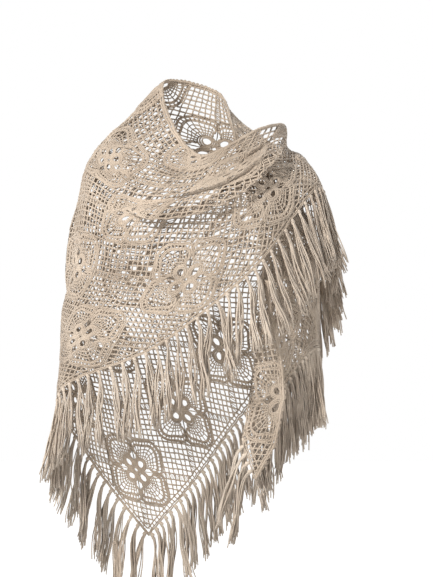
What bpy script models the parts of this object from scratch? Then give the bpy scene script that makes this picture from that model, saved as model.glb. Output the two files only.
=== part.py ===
"""Triangular lace shawl with a fringe, in the hollow shape that it keeps when it is worn.

The cloth is one triangle. A point of the flat triangle has a lattice place (i, k): i steps along the long
edge from its middle, k steps down from that edge. The drape gives each lattice place its position in the
worn shawl. The origin is at the base of the neck, +X to the viewer's right, -Y to the front, +Z up.
"""

import math

import bmesh
import bpy
import numpy as np
from mathutils.geometry import delaunay_2d_cdt

MM = 0.001

# Driving sizes, in millimetres
STEP = 130.0  # lattice step: one motif lies two steps from the next along the long edge
STEPS = 7  # lattice steps from the long edge to the lower corner
CLOTH = 2.6  # thickness of the lace
SEAM = 0.8  # gap between stretches of cloth
PETAL_REACH = 13.5  # petal hole's centre from the motif's centre, along each lattice direction
PETAL_LONG = 13.5
PETAL_WIDE = 11.0
RING_HOLE = 6.5
BACKING_GAP = 0.6  # from the cloth's edge to the fringe's backing
BACKING_WIDE = 6.0
LOCK_PITCH = 18.6  # fringe bundles along the flat edge
LOCK_LONG = 152.0
LOCK_RADIUS = 4.4

# Meshing of the cloth, in millimetres of flat cloth but for the edge parts
COARSE_CELL = 65.0
FINE_CELL = 8.2
FLATNESS = 3.0
EDGE_PARTS = 6  # points along an edge for each lattice step
MARGIN = 4  # lattice steps kept around the triangle so that its edges curve like its middle

# Folds and locks
FOLD_FADES = (0.25, 0.2)  # shares of a fold's length over which it rises and dies away
ROLL_EDGE = 2.2  # how sharply a roll ends at its fold's line
ROLL_WIDE = 1.4  # lattice steps above the line over which a roll fades
LOCK_SHAPE = (0.55, 1.0, 1.0, 0.75)  # share of the full radius at the root and down the lock
LOCK_ROOT = 0.45  # share of the backing's width at which a lock starts
LOCK_TURN = 16.0  # length over which a lock turns from the edge's direction to hanging
LOCK_SWAY = 0.05
LOCK_PIECES = 24
LOCK_POINTS = (3, 10, 23)  # pieces after which a lock has a point

# Each rib hangs from the long edge: x, y, z in millimetres at every lattice step down from that edge
RIBS = {
    -7: ((106, -116, -661),),
    -6: ((90, -104, -512), (131, -86, -534)),
    -5: ((108, -104, -372), (162, -86, -392), (205, -55, -425)),
    -4: ((122, -108, -240), (195, -62, -262), (226, -12, -300), (228, 20, -418)),
    -3: ((88, -92, -110), (168, -48, -135), (214, 22, -190), (175, 100, -310), (165, 102, -450)),
    -2: (
        (64, -52, 2), (172, 45, -54), (115, 115, -155), (35, 118, -290), (50, 116, -420),
        (75, 110, -560),
    ),
    -1: (
        (38, 58, 74), (30, 104, -32), (-40, 115, -150), (-110, 105, -275), (-70, 114, -405),
        (-35, 113, -535), (-5, 107, -672),
    ),
    0: (
        (-58, 38, 93), (-142, 72, -8), (-212, 62, -140), (-242, 58, -268), (-186, 104, -398),
        (-150, 108, -525), (-120, 106, -652), (-95, 102, -780),
    ),
    1: (
        (-53, -45, 18), (-163, -50, -64), (-202, -68, -132), (-224, -52, -262), (-259, 22, -378),
        (-232, 95, -505), (-215, 98, -622),
    ),
    2: (
        (8, -96, -52), (-60, -118, -112), (-124, -112, -167), (-149, -112, -280), (-220, -72, -391),
        (-262, -12, -497),
    ),
    3: ((117, -63, 0), (70, -116, -84), (13, -130, -146), (-23, -140, -285), (-74, -128, -408)),
    4: ((163, 52, 2), (152, -45, -42), (131, -108, -114), (106, -135, -264)),
    5: ((142, 138, -108), (204, 94, -68), (228, -30, -112)),
    6: ((162, 150, -238), (240, 116, -220)),
    7: ((190, 150, -366),),
}

# Rounded fullness: name, i, k, radius in lattice steps, how far it stands out in millimetres
FULLNESS = (
    ("right shoulder", 0.55, 1.25, 0.60, 17),
    ("collar roll", 0.1, 0.25, 0.35, 9),
    ("gathers on the left shoulder", 3.8, 0.25, 0.45, 8),
)

# Folds: name, then start, middle and end as lattice places, width in lattice steps, ridge height,
# how far a roll stands out, and how far it laps over what is below it, in millimetres
FOLDS = (
    ("cowl", (1.7, 1.75), (3.1, 2.0), (4.15, 0.70), 0.22, 0, 20, 24),
    ("upper cowl", (1.5, 0.75), (2.9, 1.15), (4.1, 0.35), 0.16, 7, 0, 0),
    ("lower cowl", (1.1, 1.45), (2.4, 1.55), (3.8, 1.10), 0.14, -5, 0, 0),
    ("right shoulder fall", (0.9, 1.2), (1.0, 2.6), (0.9, 4.2), 0.22, 6, 0, 0),
    ("right arm back", (0.2, 1.6), (0.1, 3.2), (0.3, 5.0), 0.20, -8, 0, 0),
    ("front crossing", (1.6, 2.6), (2.6, 2.7), (3.7, 2.1), 0.20, 4, 0, 0),
    ("back fall, right", (-0.6, 1.6), (-0.7, 3.5), (-0.2, 5.6), 0.24, 8, 0, 0),
    ("back fall, middle", (-1.5, 1.8), (-1.6, 3.4), (-1.2, 5.2), 0.24, -9, 0, 0),
    ("back fall, left", (-2.5, 1.9), (-2.5, 3.2), (-2.2, 4.6), 0.24, 10, 0, 0),
    ("left arm back", (-3.2, 1.9), (-3.3, 2.8), (-3.0, 3.9), 0.20, -9, 0, 0),
    ("left arm front", (-3.6, 0.6), (-4.0, 1.2), (-4.4, 2.0), 0.20, -7, 0, 0),
    ("throw", (4.6, 1.6), (5.0, 0.7), (5.8, 0.5), 0.22, 6, 0, 0),
)

# The left end is folded over its front: lattice step, width turned back, the fold's x, and the turned
# hem's x, y, z
TURNBACK = (
    (-4.33, 15, 118, 130, -119, -285),
    (-5.0, 42, 108, 139, -126, -366),
    (-5.5, 56, 104, 156, -130, -434),
    (-6.0, 66, 95, 161, -131, -505),
    (-6.5, 66, 82, 144, -128, -590),
    (-7.0, 66, 106, 106, -116, -661),
)
TURN_START = -13 / 3
TURN_ROUND = 0.28  # share of the turned width that the fold's round takes up
NARROWS_OVER = 0.5  # lattice steps over which the layer behind narrows to nothing

# Stretches of cloth between two lattice steps: name, from, to
CLOTH_STRETCHES = (
    ("cloth_left_end", -7.0, TURN_START),
    ("cloth_left_side", TURN_START, -8 / 3),
    ("cloth_back", -8 / 3, 0.5),
    ("cloth_front", 0.5, 13 / 3),
    ("cloth_left_throw", 13 / 3, 7.0),
)

# Fringe along the two short edges: name, side, from and to in lattice steps along the long edge,
# lean of the locks at both ends in x and y
FRINGE_STRETCHES = (
    ("fringe_back_right", 1, 0.01, 1.995, (0.00, 0.05), (-0.16, 0.00)),
    ("fringe_front", 1, 2.005, 4.328, (-0.20, -0.05), (0.08, -0.08)),
    ("fringe_left_throw", 1, 4.338, 41 / 6, (0.18, -0.05), (0.12, 0.05)),
    ("fringe_back_left", -1, 0.01, 3.995, (0.00, 0.05), (0.02, 0.05)),
    ("fringe_left_side", -1, 4.005, 19 / 3, (0.05, 0.02), (-0.02, 0.03)),
    ("fringe_left_end", -1, 6.5, 41 / 6, (-0.35, 0.05), (-0.15, -0.02)),
)

LACE_COLOUR = (0.64, 0.55, 0.45, 1.0)
FRINGE_COLOUR = (0.66, 0.58, 0.48, 1.0)


def clear_scene():
    for obj in list(bpy.data.objects):
        bpy.data.objects.remove(obj, do_unlink=True)


def collection(name):
    made = bpy.data.collections.new(name)
    bpy.context.scene.collection.children.link(made)
    return made


def material(name, colour, roughness):
    made = bpy.data.materials.new(name)
    made.use_nodes = True
    shader = made.node_tree.nodes["Principled BSDF"]
    shader.inputs["Base Color"].default_value = colour
    shader.inputs["Roughness"].default_value = roughness
    shader.inputs["Metallic"].default_value = 0.0
    return made


# Drape: from a lattice place to a position in millimetres


def lattice_points():
    """The ribs as an array over i and k, continued past the triangle's edges."""
    reach = STEPS + MARGIN
    points = np.full((2 * reach + 1, reach + 2, 3), np.nan)

    def at(i, k):
        return points[i + reach, k + 1]

    for i, rib in RIBS.items():
        for k, place in enumerate(rib):
            points[i + reach, k + 1] = place
    for ring in range(STEPS + 1, reach + 1):
        for k in range(ring, -1, -1):
            for side in (1, -1):
                i = side * (ring - k)
                if i == 0:
                    new = 2 * at(0, k - 1) - at(0, k - 2)
                elif k == 0:
                    new = 2 * at(i - side, 0) - at(i - 2 * side, 0)
                else:
                    new = at(i - side, k) + at(i, k - 1) - at(i - side, k - 1)
                points[i + reach, k + 1] = new
    points[:, 0] = 2 * points[:, 1] - points[:, 2]
    return points


def cubic_weights(f):
    """Weights of four points in a row for a smooth curve from the second to the third."""
    return (
        0.5 * (-f + 2 * f**2 - f**3),
        0.5 * (2 - 5 * f**2 + 3 * f**3),
        0.5 * (f + 4 * f**2 - 3 * f**3),
        0.5 * (f**3 - f**2),
    )


LATTICE = lattice_points()


def main_sheet(i, k):
    reach = STEPS + MARGIN
    column = np.clip(np.floor(i).astype(int), -STEPS - 1, STEPS)
    row = np.clip(np.floor(k).astype(int), 0, STEPS)
    across = cubic_weights(i - column)
    down = cubic_weights(k - row)
    total = np.zeros(i.shape + (3,))
    for a in range(4):
        for b in range(4):
            i_row = np.clip(column + a - 1 + reach, 0, 2 * reach)
            point = LATTICE[i_row, np.clip(row + b, 0, reach + 1)]
            total += (across[a] * down[b])[..., None] * point
    return total


def unit(vectors):
    return vectors / np.maximum(np.linalg.norm(vectors, axis=-1, keepdims=True), 1e-9)


def smooth(f):
    f = np.clip(f, 0, 1)
    return f * f * (3 - 2 * f)


def fold_distance(i, k, start, middle, end):
    """Signed distance below the fold's line, the way down from it, and how far in from its ends."""
    f = np.linspace(0, 1, 15)[:, None]
    bend = 2 * np.array(middle) - 0.5 * (np.array(start) + np.array(end))
    line = (1 - f) ** 2 * np.array(start) + 2 * f * (1 - f) * bend + f**2 * np.array(end)
    best = np.full(i.shape, 1e9)
    signed = np.zeros(i.shape)
    down = np.zeros(i.shape + (2,))
    along = np.zeros(i.shape)
    for n in range(len(line) - 1):
        run = line[n + 1] - line[n]
        length = np.hypot(*run)
        offset = np.stack([i - line[n, 0], k - line[n, 1]], axis=-1)
        f = np.clip((offset @ run) / length**2, 0, 1)
        near = offset - f[..., None] * run
        distance = np.hypot(near[..., 0], near[..., 1])
        below = np.array([-run[1], run[0]]) / length
        closer = distance < best
        best = np.where(closer, distance, best)
        signed = np.where(closer, np.where(offset @ below >= 0, distance, -distance), signed)
        down[closer] = below
        along = np.where(closer, (n + f) / (len(line) - 1), along)
    return signed, down, along


def folded_sheet(i, k):
    """The main sheet with its fullness and folds."""
    tiny = 0.02
    place = main_sheet(i, k)
    across = (main_sheet(i + tiny, k) - main_sheet(i - tiny, k)) / (2 * tiny)
    down = (main_sheet(i, k + tiny) - main_sheet(i, k - tiny)) / (2 * tiny)
    outward = unit(np.cross(down, across))
    shift = np.zeros(place.shape)
    for _, i_middle, k_middle, radius, height in FULLNESS:
        near = np.exp(-((i - i_middle) ** 2 + (k - k_middle) ** 2) / radius**2)
        shift += (height * near)[..., None] * outward
    for _, start, middle, end, width, ridge, roll, lap in FOLDS:
        below, way, along = fold_distance(i, k, start, middle, end)
        fade = smooth(along / FOLD_FADES[0]) * smooth((1 - along) / FOLD_FADES[1])
        height = ridge * np.exp(-((below / width) ** 2))
        above = 0.5 - 0.5 * np.tanh(ROLL_EDGE * below / width)
        height = height + roll * above * smooth(1 + below / ROLL_WIDE)
        shift += (fade * height)[..., None] * outward
        if lap:
            slope = unit(across * way[..., :1] + down * way[..., 1:])
            slip = -lap * math.sqrt(2 * math.e) * (below / width) * np.exp(-((below / width) ** 2))
            shift += (fade * slip)[..., None] * slope
    return place + shift


def turnback_at(i):
    """Width turned back in lattice steps, the fold's x, and the turned hem's position."""
    table = np.array(TURNBACK, float)[::-1]
    values = [np.interp(i, table[:, 0], table[:, n]) for n in range(1, 6)]
    return values[0] / STEP, values[1], np.stack(values[2:], axis=-1)


def left_end(i, k):
    """The end that is folded over its own front, as one sheet that turns at the fold."""
    turned, fold_x, hem = turnback_at(i)
    full = np.maximum(STEPS + i, 0.03)
    all_turned = full <= turned
    width = np.where(all_turned, full, turned)
    behind = np.clip((k - width) / np.maximum(full - width, 0.02), 0, 1.2)
    fold = folded_sheet(i, np.zeros(k.shape))
    back = folded_sheet(i, np.where(all_turned, 0.0, behind * full))
    narrowing = np.clip((full - turned) / NARROWS_OVER, 0, 1)
    back = fold + narrowing[..., None] * (back - fold)
    move = fold_x - fold[..., 0]
    fold[..., 0] += move
    back[..., 0] += move * (1 - narrowing * behind)
    over = 1 - k / width
    turn = np.clip(over / TURN_ROUND, 0, 1)
    front = fold + over[..., None] * (hem - fold)
    rounded = over + narrowing * (np.sqrt(1 - (1 - turn) ** 2) - over)
    front[..., 1] = fold[..., 1] + (hem - fold)[..., 1] * rounded
    return np.where((all_turned | (over >= 0))[..., None], front, back)


def drape(i, k):
    i = np.asarray(i, float)
    k = np.asarray(k, float)
    return np.where((i < TURN_START)[..., None], left_end(i, k), folded_sheet(i, k))


# Cloth


def motif_centres():
    """Lattice places of the motifs: every other lattice point inside the border."""
    return [
        (i, k)
        for i in range(1 - STEPS, STEPS)
        for k in range(STEPS)
        if (i + k) % 2 == 0 and abs(i) + k < STEPS
    ]


def hole_outlines():
    """Each motif's four teardrop holes and its centre ring, as outlines in lattice steps."""
    outlines = []
    for i, k in motif_centres():
        for side in (1, -1):
            for fall in (1, -1):
                if k == 0 and fall < 0:
                    continue
                turn = math.atan2(fall, side)
                outline = []
                for corner in range(6):
                    angle = corner * math.pi / 3
                    long = 0.5 * PETAL_LONG * math.cos(angle)
                    wide = 0.5 * PETAL_WIDE * math.sin(angle)
                    s = side * PETAL_REACH + long * math.cos(turn) - wide * math.sin(turn)
                    t = fall * PETAL_REACH + long * math.sin(turn) + wide * math.cos(turn)
                    outline.append((i + s / STEP, k + t / STEP))
                outlines.append(outline)
        if k:
            ring = [
                (
                    i + 0.5 * RING_HOLE * math.cos(corner * math.pi / 3) / STEP,
                    k + 0.5 * RING_HOLE * math.sin(corner * math.pi / 3) / STEP,
                )
                for corner in range(6)
            ]
            outlines.append(ring)
    return outlines


def stretch_outline(start, end):
    """Corners of a stretch of the triangle between two lattice steps, in lattice steps."""
    half_seam = 0.5 * SEAM / STEP
    low = start + (half_seam if start > -STEPS else 0)
    high = end - (half_seam if end < STEPS else 0)
    corners = [(low, 0.0), (high, 0.0)]
    if STEPS - abs(high) > 0.01:
        corners.append((high, STEPS - abs(high)))
    if low < 0 < high:
        corners.append((0.0, float(STEPS)))
    if STEPS - abs(low) > 0.01:
        corners.append((low, STEPS - abs(low)))
    return corners


def edge_marks(start, end):
    """The ends and every edge part between them, so that neighbours along an edge share their points."""
    low, high = sorted((start, end))
    first = math.floor(low * EDGE_PARTS + 1.2)
    last = math.ceil(high * EDGE_PARTS - 1.2)
    marks = [low] + [n / EDGE_PARTS for n in range(first, last + 1)] + [high]
    return marks if start < end else marks[::-1]


def divided(corners):
    """The outline with points added at every edge part."""
    points = []
    for n, (i, k) in enumerate(corners):
        next_i, next_k = corners[(n + 1) % len(corners)]
        if abs(next_i - i) > 1e-6:
            marks = [(mark, k + (next_k - k) * (mark - i) / (next_i - i)) for mark in edge_marks(i, next_i)]
        else:
            marks = [(i, mark) for mark in edge_marks(k, next_k)]
        points += marks[:-1]
    return points


def inside(points, outline):
    """Whether each point lies inside the outline."""
    x, y = points[:, 0], points[:, 1]
    result = np.zeros(len(points), bool)
    for n, (xa, ya) in enumerate(outline):
        xb, yb = outline[n - 1]
        if ya == yb:
            continue
        crosses = (ya > y) != (yb > y)
        result ^= crosses & (x < (xb - xa) * (y - ya) / (yb - ya) + xa)
    return result


def outline_clearance(points, outline):
    """Distance of each point from the outline, in lattice steps."""
    best = np.full(len(points), 1e9)
    for n, corner in enumerate(outline):
        a = np.array(outline[n - 1])
        run = np.array(corner) - a
        f = np.clip(((points - a) @ run) / (run @ run), 0, 1)
        best = np.minimum(best, np.linalg.norm(points - a - f[:, None] * run, axis=1))
    return best


def inner_points(corners, smallest):
    """Corners of square cells that are divided until the drape is nearly flat across each."""
    low = np.floor(np.min(corners, axis=0) * STEP / COARSE_CELL).astype(int)
    high = np.ceil(np.max(corners, axis=0) * STEP / COARSE_CELL).astype(int)
    cells = [
        (a * COARSE_CELL, b * COARSE_CELL, COARSE_CELL)
        for a in range(low[0], high[0])
        for b in range(low[1], high[1])
    ]
    points = set()
    while cells:
        array = np.array(cells)
        s, t, size = array.T
        grid = [
            drape((s + a * size) / STEP, (t + b * size) / STEP)
            for a, b in ((0, 0), (1, 0), (0, 1), (1, 1), (0.5, 0.5), (0.5, 0), (0, 0.5))
        ]
        bend = np.linalg.norm(grid[4] - (grid[0] + grid[1] + grid[2] + grid[3]) / 4, axis=1)
        bend = np.maximum(bend, np.linalg.norm(grid[5] - (grid[0] + grid[1]) / 2, axis=1))
        bend = np.maximum(bend, np.linalg.norm(grid[6] - (grid[0] + grid[2]) / 2, axis=1))
        following = []
        for (s0, t0, cell), amount in zip(cells, bend):
            if amount > FLATNESS and cell > 1.5 * smallest:
                half = cell / 2
                following += [(s0 + a * half, t0 + b * half, half) for a in (0, 1) for b in (0, 1)]
            else:
                points |= {(s0 + a * cell, t0 + b * cell) for a in (0, 1) for b in (0, 1)}
        cells = following
    return np.array(sorted(points)) / STEP


def cloth_mesh(name, start, end):
    """An open sheet of triangles on the drape, with the motif holes left out."""
    corners = stretch_outline(start, end)
    edge = divided(corners)
    holes = [h for h in hole_outlines() if inside(np.array(h), corners).all()]
    points = inner_points(corners, FINE_CELL)
    keep = inside(points, edge) & (outline_clearance(points, edge) > 0.35 * FINE_CELL / STEP)
    for hole in holes:
        keep &= outline_clearance(points, hole) > 0.35 * FINE_CELL / STEP
        keep &= ~inside(points, hole)
    flat = [tuple(p) for p in edge]
    runs = [(n, (n + 1) % len(edge)) for n in range(len(edge))]
    for hole in holes:
        first = len(flat)
        flat += hole
        runs += [(first + n, first + (n + 1) % len(hole)) for n in range(len(hole))]
    flat += [tuple(p) for p in points[keep]]
    places, _, faces, _, _, _ = delaunay_2d_cdt(flat, runs, [], 1, 1e-7)
    places = np.array([tuple(p) for p in places])
    faces = np.array([tuple(f) for f in faces])
    middles = places[faces].mean(axis=1)
    solid = inside(middles, edge)
    for hole in holes:
        solid &= ~inside(middles, hole)
    world = drape(places[:, 0], places[:, 1]) * MM
    mesh = bpy.data.meshes.new(name)
    mesh.from_pydata(world.tolist(), [], faces[solid].tolist())
    mesh.update()
    return mesh


def add_cloth(name, start, end, lace, parts):
    obj = bpy.data.objects.new(name, cloth_mesh(name, start, end))
    obj.data.materials.append(lace)
    obj.data.shade_smooth()
    parts.objects.link(obj)
    wall = obj.modifiers.new("Wall", "SOLIDIFY")
    wall.thickness = CLOTH * MM
    wall.offset = 0.0
    return obj


# Fringe


def edge_point(side, along, out):
    """A point some millimetres out from a short edge, square to it, at a lattice step along the long edge."""
    tiny = 0.02
    i = side * np.array([along, along - tiny, along + tiny, along - tiny])
    k = STEPS - np.array([along, along - tiny, along + tiny, along + tiny])
    edge, before, after, inner = drape(i, k)
    run = unit(after - before)
    away = edge - inner
    away = unit(away - (away @ run) * run)
    return edge + out * away


def backing_mesh(name, side, start, end):
    """A narrow open strip just outside the cloth's edge."""
    bm = bmesh.new()
    rows = []
    for along in edge_marks(start, end):
        row = []
        for out in (BACKING_GAP, BACKING_GAP + BACKING_WIDE):
            row.append(bm.verts.new(edge_point(side, along, out) * MM))
        rows.append(row)
    for first, second in zip(rows, rows[1:]):
        corners = (first[0], second[0], second[1], first[1])
        bm.faces.new(corners if side < 0 else corners[::-1])
    mesh = bpy.data.meshes.new(name)
    bm.to_mesh(mesh)
    bm.free()
    return mesh


def backing_point(side, along, marks, share):
    """A point on the straight run of backing between two marks, at a share of its width."""
    after = next(n for n in range(1, len(marks)) if along <= marks[n] or n == len(marks) - 1)
    f = (along - marks[after - 1]) / (marks[after] - marks[after - 1])
    out = BACKING_GAP + share * BACKING_WIDE
    return (1 - f) * edge_point(side, marks[after - 1], out) + f * edge_point(side, marks[after], out)


def lock_path(side, along, marks, lean, number):
    """Points down one lock, from inside the backing to its end."""
    root = backing_point(side, along, marks, LOCK_ROOT)
    outward = unit(backing_point(side, along, marks, 1.0) - root)
    sway = LOCK_SWAY * np.array([math.sin(2.4 * number), math.cos(1.7 * number), 0.0])
    hang = np.array([lean[0], lean[1], -1.0]) + sway
    points = [root]
    place = root.copy()
    for piece in range(LOCK_PIECES):
        length = (piece + 0.5) * LOCK_LONG / LOCK_PIECES
        share = math.exp(-length / LOCK_TURN)
        heading = unit(outward * share + hang * (1 - share))
        place = place + heading * LOCK_LONG / LOCK_PIECES
        if piece in LOCK_POINTS:
            points.append(place.copy())
    return points


def add_fringe(name, side, start, end, lean_start, lean_end, yarn, parts, helpers):
    guide = bpy.data.curves.new(name + "_lines", "CURVE")
    guide.dimensions = "3D"
    guide.bevel_depth = LOCK_RADIUS * MM
    guide.bevel_resolution = 0
    guide.use_fill_caps = True
    run = STEP * math.sqrt(2) * (end - start)
    count = max(2, round(run / LOCK_PITCH))
    for number in range(count):
        f = (number + 0.5) / count
        lean = [a + f * (b - a) for a, b in zip(lean_start, lean_end)]
        path = lock_path(side, start + f * (end - start), edge_marks(start, end), lean, number)
        spline = guide.splines.new("POLY")
        spline.points.add(len(path) - 1)
        for point, place, radius in zip(spline.points, path, LOCK_SHAPE):
            point.co = (*(place * MM), 1.0)
            point.radius = radius
    lines = bpy.data.objects.new(name + "_lines", guide)
    helpers.objects.link(lines)
    locks = bpy.data.objects.new(name + "_locks", mesh_of(lines))
    locks.matrix_world = lines.matrix_world
    bpy.data.objects.remove(lines, do_unlink=True)
    helpers.objects.link(locks)
    locks.hide_render = True
    locks.display_type = "WIRE"
    obj = bpy.data.objects.new(name, backing_mesh(name, side, start, end))
    obj.data.materials.append(yarn)
    parts.objects.link(obj)
    wall = obj.modifiers.new("Wall", "SOLIDIFY")
    wall.thickness = CLOTH * MM
    wall.offset = 0.0
    join = obj.modifiers.new("Locks", "BOOLEAN")
    join.operation = "UNION"
    join.object = locks
    return obj


def mesh_of(curve_object):
    """The curve's tubes as a mesh with welded caps."""
    bpy.context.view_layer.update()
    graph = bpy.context.evaluated_depsgraph_get()
    mesh = bpy.data.meshes.new_from_object(curve_object.evaluated_get(graph))
    bm = bmesh.new()
    bm.from_mesh(mesh)
    bmesh.ops.remove_doubles(bm, verts=bm.verts, dist=0.01 * MM)
    bmesh.ops.recalc_face_normals(bm, faces=bm.faces)
    bm.to_mesh(mesh)
    bm.free()
    return mesh


def main():
    clear_scene()
    parts = collection("lace_shawl")
    helpers = collection("lace_shawl_helpers")
    lace = material("cotton_lace", LACE_COLOUR, 0.85)
    yarn = material("fringe_yarn", FRINGE_COLOUR, 0.8)
    for name, start, end in CLOTH_STRETCHES:
        add_cloth(name, start, end, lace, parts)
    for name, side, start, end, lean_start, lean_end in FRINGE_STRETCHES:
        add_fringe(name, side, start, end, lean_start, lean_end, yarn, parts, helpers)


main()
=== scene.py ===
"""Looks of the lace shawl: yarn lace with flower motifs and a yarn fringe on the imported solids' drape.

Flat places on the cloth are in millimetres: s along the long edge from its middle, t down from that edge.
The drape turns them into positions in the worn shawl, with the same numbers as the part's source.
"""

import math

import bpy
import numpy as np
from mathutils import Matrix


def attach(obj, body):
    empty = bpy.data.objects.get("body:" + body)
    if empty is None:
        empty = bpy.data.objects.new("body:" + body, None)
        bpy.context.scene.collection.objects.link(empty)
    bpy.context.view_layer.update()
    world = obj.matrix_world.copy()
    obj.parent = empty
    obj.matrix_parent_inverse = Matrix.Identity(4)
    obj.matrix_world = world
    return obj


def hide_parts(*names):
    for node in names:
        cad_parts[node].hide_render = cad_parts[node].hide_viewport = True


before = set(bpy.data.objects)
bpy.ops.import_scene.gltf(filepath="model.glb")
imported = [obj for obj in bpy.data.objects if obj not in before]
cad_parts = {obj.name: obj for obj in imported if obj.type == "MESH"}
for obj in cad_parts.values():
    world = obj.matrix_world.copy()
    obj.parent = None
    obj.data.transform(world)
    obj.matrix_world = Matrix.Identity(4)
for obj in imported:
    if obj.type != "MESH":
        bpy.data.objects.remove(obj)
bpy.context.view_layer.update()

MM = 0.001
SEED = 11

# Drape, as in the part's source

STEP = 130.0  # a lattice step in millimetres of flat cloth
STEPS = 7  # from the middle of the long edge to a tip, and down to the back's point
MARGIN = 4  # lattice steps that are continued past the triangle's edges

# Ribs by their lattice place i on the long edge: a place in millimetres for every step k down from it
RIBS = {
    -7: ((106, -116, -661),),
    -6: ((90, -104, -512), (131, -86, -534)),
    -5: ((108, -104, -372), (162, -86, -392), (205, -55, -425)),
    -4: ((122, -108, -240), (195, -62, -262), (226, -12, -300), (228, 20, -418)),
    -3: ((88, -92, -110), (168, -48, -135), (214, 22, -190), (175, 100, -310), (165, 102, -450)),
    -2: (
        (64, -52, 2), (172, 45, -54), (115, 115, -155), (35, 118, -290), (50, 116, -420),
        (75, 110, -560),
    ),
    -1: (
        (38, 58, 74), (30, 104, -32), (-40, 115, -150), (-110, 105, -275), (-70, 114, -405),
        (-35, 113, -535), (-5, 107, -672),
    ),
    0: (
        (-58, 38, 93), (-142, 72, -8), (-212, 62, -140), (-242, 58, -268), (-186, 104, -398),
        (-150, 108, -525), (-120, 106, -652), (-95, 102, -780),
    ),
    1: (
        (-53, -45, 18), (-163, -50, -64), (-202, -68, -132), (-224, -52, -262), (-259, 22, -378),
        (-232, 95, -505), (-215, 98, -622),
    ),
    2: (
        (8, -96, -52), (-60, -118, -112), (-124, -112, -167), (-149, -112, -280), (-220, -72, -391),
        (-262, -12, -497),
    ),
    3: ((117, -63, 0), (70, -116, -84), (13, -130, -146), (-23, -140, -285), (-74, -128, -408)),
    4: ((163, 52, 2), (152, -45, -42), (131, -108, -114), (106, -135, -264)),
    5: ((142, 138, -108), (204, 94, -68), (228, -30, -112)),
    6: ((162, 150, -238), (240, 116, -220)),
    7: ((190, 150, -366),),
}

# Rounded fullness: i, k, radius in lattice steps, how far it stands out in millimetres
FULLNESS = ((0.55, 1.25, 0.60, 17), (0.1, 0.25, 0.35, 9), (3.8, 0.25, 0.45, 8))

# Folds: start, middle and end as lattice places, width in lattice steps, ridge, roll and lap in millimetres
FOLDS = (
    ((1.7, 1.75), (3.1, 2.0), (4.15, 0.70), 0.22, 0, 20, 24),
    ((1.5, 0.75), (2.9, 1.15), (4.1, 0.35), 0.16, 7, 0, 0),
    ((1.1, 1.45), (2.4, 1.55), (3.8, 1.10), 0.14, -5, 0, 0),
    ((0.9, 1.2), (1.0, 2.6), (0.9, 4.2), 0.22, 6, 0, 0),
    ((0.2, 1.6), (0.1, 3.2), (0.3, 5.0), 0.20, -8, 0, 0),
    ((1.6, 2.6), (2.6, 2.7), (3.7, 2.1), 0.20, 4, 0, 0),
    ((-0.6, 1.6), (-0.7, 3.5), (-0.2, 5.6), 0.24, 8, 0, 0),
    ((-1.5, 1.8), (-1.6, 3.4), (-1.2, 5.2), 0.24, -9, 0, 0),
    ((-2.5, 1.9), (-2.5, 3.2), (-2.2, 4.6), 0.24, 10, 0, 0),
    ((-3.2, 1.9), (-3.3, 2.8), (-3.0, 3.9), 0.20, -9, 0, 0),
    ((-3.6, 0.6), (-4.0, 1.2), (-4.4, 2.0), 0.20, -7, 0, 0),
    ((4.6, 1.6), (5.0, 0.7), (5.8, 0.5), 0.22, 6, 0, 0),
)

# Fine creases that the solids leave out, in the folds' columns: cowl, right shoulder, front and back
CREASES = (
    ((1.80, 1.92), (3.10, 2.16), (4.10, 0.86), 0.07, -8, 0, 0),
    ((1.75, 1.66), (3.05, 1.88), (4.10, 0.60), 0.08, 5, 0, 0),
    ((1.20, 0.35), (2.30, 0.75), (3.60, 0.20), 0.09, 6, 0, 0),
    ((1.00, 1.00), (2.10, 1.35), (3.30, 1.20), 0.09, 6, 0, 0),
    ((0.30, 0.90), (0.90, 0.75), (1.70, 1.00), 0.10, 6, 0, 0),
    ((0.40, 1.35), (1.00, 1.20), (1.70, 1.40), 0.09, -5, 0, 0),
    ((1.30, 2.20), (2.00, 2.90), (2.40, 3.90), 0.12, 4, 0, 0),
    ((2.50, 2.50), (2.90, 3.00), (3.20, 3.50), 0.10, -4, 0, 0),
    ((-1.00, 1.20), (-1.05, 2.60), (-0.80, 4.20), 0.12, 5, 0, 0),
    ((-2.00, 1.00), (-2.10, 2.40), (-1.80, 3.80), 0.11, -5, 0, 0),
    ((0.40, 2.00), (0.50, 3.00), (0.40, 3.80), 0.10, 5, 0, 0),
)

FOLD_FADES = (0.25, 0.2)  # shares of a fold's length over which it rises and dies away
ROLL_EDGE = 2.2  # how sharply a roll ends at its fold's line
ROLL_WIDE = 1.4  # lattice steps above the line over which a roll fades

# The folded left end: lattice step, width turned back, the fold's x, and the turned hem's x, y, z
TURNBACK = (
    (-4.33, 15, 118, 130, -119, -285),
    (-5.0, 42, 108, 139, -126, -366),
    (-5.5, 56, 104, 156, -130, -434),
    (-6.0, 66, 95, 161, -131, -505),
    (-6.5, 66, 82, 144, -128, -590),
    (-7.0, 66, 106, 106, -116, -661),
)
TURN_START = -13 / 3
TURN_ROUND = 0.28  # share of the turned width that is rounded at the fold
NARROWS_OVER = 0.5  # lattice steps over which the cloth behind the fold closes up towards the tip

# Sheets: name, CAD node, from and to in lattice steps, and the fringe on each
SHEETS = (
    ("lace_left_end", "cloth_left_end", -7.0, TURN_START, ("tassels_left_end",)),
    ("lace_left_side", "cloth_left_side", TURN_START, -8 / 3, ("tassels_left_side",)),
    ("lace_back_left", "cloth_back", -8 / 3, -1.0, ("tassels_back_left",)),
    ("lace_back_right", "cloth_back", -1.0, 0.5, ()),
    ("lace_front_right", "cloth_front", 0.5, 2.0, ("tassels_back_right",)),
    ("lace_front_middle", "cloth_front", 2.0, 13 / 3, ("tassels_front",)),
    ("lace_left_throw", "cloth_left_throw", 13 / 3, 7.0, ("tassels_left_throw",)),
)

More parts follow.
